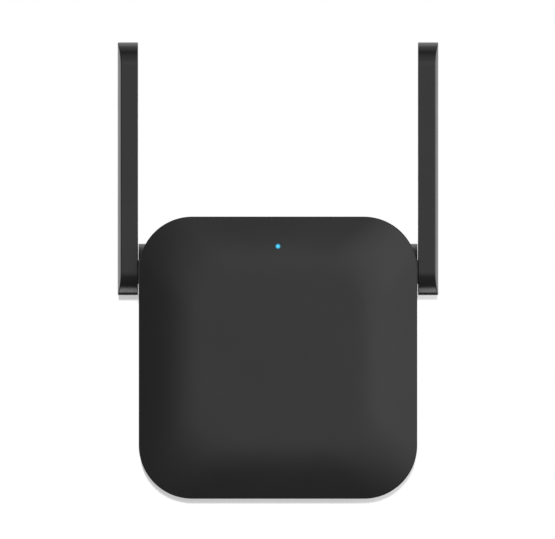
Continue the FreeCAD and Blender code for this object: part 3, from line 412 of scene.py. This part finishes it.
def insulation_film():
    """Clear polyester film with a milky, faintly scratched face."""
    s = Shader("insulation_film")
    s.set(base_color=s.mix(s.noise(4 * MM, 4.0), (0.75, 0.75, 0.68), (0.85, 0.85, 0.8)))
    s.set(alpha=0.45, roughness=s.patches(0.3 * MM, 0.2, 0.4, 3.0, s.stretched(1, 1, 0.05)))
    return s.material


# ---- label and lamp ----
def label_film():
    """A blank rating label: satin black film with a thin printed border."""
    inset, half_line = 1.2 * MM, 0.15 * MM
    s = Shader("label_film")
    low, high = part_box("rating_label")
    centre, half = (low + high) / 2, (high - low) / 2
    across = s.math("SUBTRACT", half.x, s.math("ABSOLUTE", s.math("SUBTRACT", s.axis("x"), centre.x)))
    along = s.math("SUBTRACT", half.z, s.math("ABSOLUTE", s.math("SUBTRACT", s.axis("z"), centre.z)))
    edge = s.math("MINIMUM", across, along)
    border = s.math("COMPARE", edge, inset, half_line)
    film = s.mix(s.noise(6 * MM, 3.0), (0.03, 0.03, 0.031), (0.036, 0.036, 0.037))
    s.set(base_color=s.mix(border, film, (0.32, 0.32, 0.32)), roughness=0.42)
    s.set(normal=s.bump(s.noise(0.3 * MM, 2.0), 0.003 * MM))
    return s.material


def light_pipe():
    """Clear lens lit cyan from behind, brightest in the middle and fading towards the rim."""
    even_middle, dark_from = 0.1, 1.15
    middle_glow, rim_glow = 1.45, 0.15
    s = Shader("light_pipe")
    x = s.math("SUBTRACT", s.axis("x"), LENS_CENTRE.x)
    z = s.math("SUBTRACT", s.axis("z"), LENS_CENTRE.z)
    squares = s.math("ADD", s.math("MULTIPLY", x, x), s.math("MULTIPLY", z, z))
    share = s.math("DIVIDE", s.math("SQRT", squares), LENS_RADIUS)
    glow = s.span(share, even_middle, dark_from, middle_glow, rim_glow, smooth=True)
    s.set(emission_color=rgba((0.03, 0.57, 1.0)), emission_strength=glow)
    s.set(base_color=rgba((0.02, 0.05, 0.06)), roughness=s.patches(0.4 * MM, 0.1, 0.16))
    return s.material


FINISHES = [
    housing_plastic,
    antenna_plastic,
    label_film,
    light_pipe,
    pin_metal,
    pin_insulation,
    contact_brass,
    board_laminate,
    copper,
    coax_jacket,
    washer_rubber,
    gold_contact,
    tinned_steel,
    chip_resin,
    ferrite,
    led_lens,
    switch_plastic,
    plunger_plastic,
    bobbin_plastic,
    winding_tape,
    capacitor_sleeve,
    resistor_coat,
    disc_coat,
    insulation_film,
    screw_steel,
]


def finish_nodes(materials):
    """Gives every CAD node the material of its slot in the record."""
    for row in record["subparts"]:
        for holder in nodes[row["node"]].material_slots:
            holder.material = materials[row["material_slot"]]


# ---- details of the packaged parts ----
def add_strip(mesh, line, across, width, thickness):
    """Adds a flat strip of metal along a line of points, as wide as width in the direction across."""
    rings = []
    for i, point in enumerate(line):
        along = (line[min(i + 1, len(line) - 1)] - line[max(i - 1, 0)]).normalized()
        side = across * width / 2
        up = along.cross(across) * thickness / 2
        corners = (point + side + up, point - side + up, point - side - up, point + side - up)
        rings.append([mesh.verts.new(corner) for corner in corners])
    for first, second in zip(rings, rings[1:]):
        for k in range(4):
            mesh.faces.new((first[k], first[k - 1], second[k - 1], second[k]))
    mesh.faces.new(rings[0])
    mesh.faces.new(reversed(rings[-1]))


def lead_line(x, edge_z, board_y, side, reach, shoulder):
    """A bent lead's middle line: out of the body, down to the board and along it."""
    foot = LEAD_THICKNESS / 2 / MM
    steps = [(-0.1, shoulder), (0.16, shoulder), (0.3, shoulder - 0.1), (0.4, shoulder - 0.3)]
    steps += [(0.46, foot + 0.24), (0.56, foot + 0.07), (0.7, foot), (reach, foot)]
    return [Vector((x, board_y - up * MM, edge_z + side * out * MM)) for out, up in steps]


def make_leads(name, finish):
    """The bent leads of one chip, which stands on the front of its board."""
    count, pitch, width, reach, shoulder = PACKAGES[name]
    low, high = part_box(name)
    bm = bmesh.new()
    for i in range(count):
        x = (low.x + high.x) / 2 + pitch * (i - (count - 1) / 2) * MM
        for side, edge_z in ((-1, low.z), (1, high.z)):
            line = lead_line(x, edge_z, high.y, side, reach, shoulder)
            add_strip(bm, line, Vector((1, 0, 0)), width * MM, LEAD_THICKNESS)
    bmesh.ops.recalc_face_normals(bm, faces=bm.faces)
    mesh = bpy.data.meshes.new(name + "_leads")
    bm.to_mesh(mesh)
    bm.free()
    mesh.materials.append(finish)
    leads = bpy.data.objects.new(name + "_leads", mesh)
    bpy.context.scene.collection.objects.link(leads)
    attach(leads, "housing")


def soften_edges(name, radius):
    """Rounds a small part's edges, as its mould or press leaves them."""
    part = nodes[name]
    weld = part.modifiers.new("weld", "WELD")
    weld.merge_threshold = WELD_WITHIN
    bevel = part.modifiers.new("bevel", "BEVEL")
    bevel.width = radius * MM
    bevel.segments = 2
    bevel.limit_method = "ANGLE"


# ---- stage, light and camera ----
def stage_sheet(name, corners, faces, glow):
    """A pale sheet that only the camera sees, from its front. It takes shadows and casts none."""
    mesh = bpy.data.meshes.new(name)
    mesh.from_pydata(corners, [], faces)
    sheet = bpy.data.objects.new(name, mesh)
    bpy.context.scene.collection.objects.link(sheet)
    for ray in ("glossy", "diffuse", "transmission", "volume_scatter", "shadow"):
        setattr(sheet, "visible_" + ray, False)
    s = Shader(name)
    tree = s.tree
    grey = s.mix(s.noise(CLOUD_ON_SHEET), *SHEET_GREYS)
    matt = s.add("ShaderNodeBsdfDiffuse", {"Color": grey})
    light = s.add("ShaderNodeEmission", {"Strength": glow})
    lit = s.add("ShaderNodeAddShader", {0: matt.outputs[0], 1: light.outputs[0]})
    clear = s.add("ShaderNodeBsdfTransparent", {})
    back = s.add("ShaderNodeNewGeometry", {}).outputs["Backfacing"]
    both = s.add("ShaderNodeMixShader", {0: back, 1: lit.outputs[0], 2: clear.outputs[0]})
    tree.links.new(both.outputs[0], tree.nodes["Material Output"].inputs["Surface"])
    tree.nodes.remove(s.surface)
    mesh.materials.append(s.material)


def shadow_card(name, line, y):
    """An upright strip at y that hangs from a line of (x, z) points given from left to right."""
    corners = [(x, y, z + CARD_TUCK) for x, z in line]
    corners += [(x, y, z + CARD_TUCK - CARD_HEIGHT) for x, z in line]
    count = len(line)
    faces = [(i, count + i, count + i + 1, i + 1) for i in range(count - 1)]
    stage_sheet(name, corners, faces, CARD_GLOW)


def housing_lower_edge():
    """The housing's outline as seen from the front, from its left side round its bottom to its right."""
    reach = HOUSING_CORNER_R - CARD_TUCK
    centre_x = COVER_HIGH.x - HOUSING_CORNER_R
    centre_z = COVER_LOW.z + HOUSING_CORNER_R
    turns = [math.pi / 2 * step / CORNER_STEPS for step in range(CORNER_STEPS + 1)]
    right = [(centre_x + reach * math.sin(t), centre_z - reach * math.cos(t)) for t in turns]
    left = [(-x, z) for x, z in reversed(right)]
    return left + right


def make_stage():
    """The floor, and a card each for the shadow under the housing and under each blade."""
    half = FLOOR_SIZE / 2
    z = COVER_LOW.z - FLOOR_GAP
    floor = [(-half, -half, z), (half, -half, z), (half, half, z), (-half, half, z)]
    stage_sheet("floor", floor, [(0, 1, 2, 3)], FLOOR_GLOW)
    shadow_card("housing_card", housing_lower_edge(), WALL_FACE_Y + CARD_GAP)
    for side in ("left", "right"):
        low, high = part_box(side + "_antenna_shell")
        line = [(low.x, low.z), (high.x, low.z)]
        shadow_card(side + "_card", line, high.y + BLADE_TO_CARD)


def direction(azimuth, elevation):
    """A unit vector from the object: azimuth 0 is towards -Y, 90 is towards +X."""
    a, e = math.radians(azimuth), math.radians(elevation)
    return Vector((math.sin(a) * math.cos(e), -math.cos(a) * math.cos(e), math.sin(e)))


def make_world():
    """A studio of soft panels round the object. The camera sees plain white behind them."""
    world = bpy.data.worlds.new("studio")
    bpy.context.scene.world = world
    world.use_nodes = True
    s = Shader("studio", world.node_tree)
    toward = s.add("ShaderNodeTexCoord", {}).outputs["Generated"]
    total = 0.0
    for azimuth, elevation, middle, edge, strength in PANELS.values():
        centre = direction(azimuth, elevation)
        near = s.add("ShaderNodeVectorMath", {0: toward, 1: centre}, operation="DOT_PRODUCT")
        cosines = [math.cos(math.radians(angle)) for angle in (edge, middle)]
        panel = s.span(near.outputs["Value"], *cosines, 0.0, strength, smooth=True)
        total = s.math("ADD", panel, total)
    studio = s.add("ShaderNodeBackground", {"Strength": total})
    white = s.add("ShaderNodeBackground", {"Color": rgba(1.0)})
    seen = s.add("ShaderNodeLightPath", {}).outputs["Is Camera Ray"]
    both = s.add("ShaderNodeMixShader", {0: seen, 1: studio.outputs[0], 2: white.outputs[0]})
    world.node_tree.links.new(both.outputs[0], world.node_tree.nodes["World Output"].inputs["Surface"])


def make_lamp(camera):
    """A small lamp just above the camera, which puts a short soft shadow under every edge."""
    data = bpy.data.lights.new("lamp", "POINT")
    data.energy = LAMP_POWER
    data.shadow_soft_size = LAMP_RADIUS
    lamp = bpy.data.objects.new("lamp", data)
    lamp.location = camera.location + Vector((0, 0, LAMP_RISE))
    lamp.visible_glossy = False
    bpy.context.scene.collection.objects.link(lamp)


def make_camera():
    """A level camera whose picture is VIEW_WIDTH wide at VIEW_PLANE_Y."""
    data = bpy.data.cameras.new("camera")
    data.lens = LENS_MM
    data.sensor_width = SENSOR_MM
    distance = VIEW_WIDTH * LENS_MM / SENSOR_MM
    camera = bpy.data.objects.new("camera", data)
    camera.location = (AIM_X, VIEW_PLANE_Y - distance, AIM_Z)
    camera.rotation_euler = (math.pi / 2, 0, 0)
    bpy.context.scene.collection.objects.link(camera)
    bpy.context.scene.camera = camera
    return camera


finishes = {make.__name__: make() for make in FINISHES}
finish_nodes(finishes)
for name in PACKAGES:
    make_leads(name, finishes["tinned_steel"])
for name, radius in SOFT_EDGES.items():
    soften_edges(name, radius)
make_stage()
make_world()
make_lamp(make_camera())
bpy.context.scene.view_settings.view_transform = "Standard"
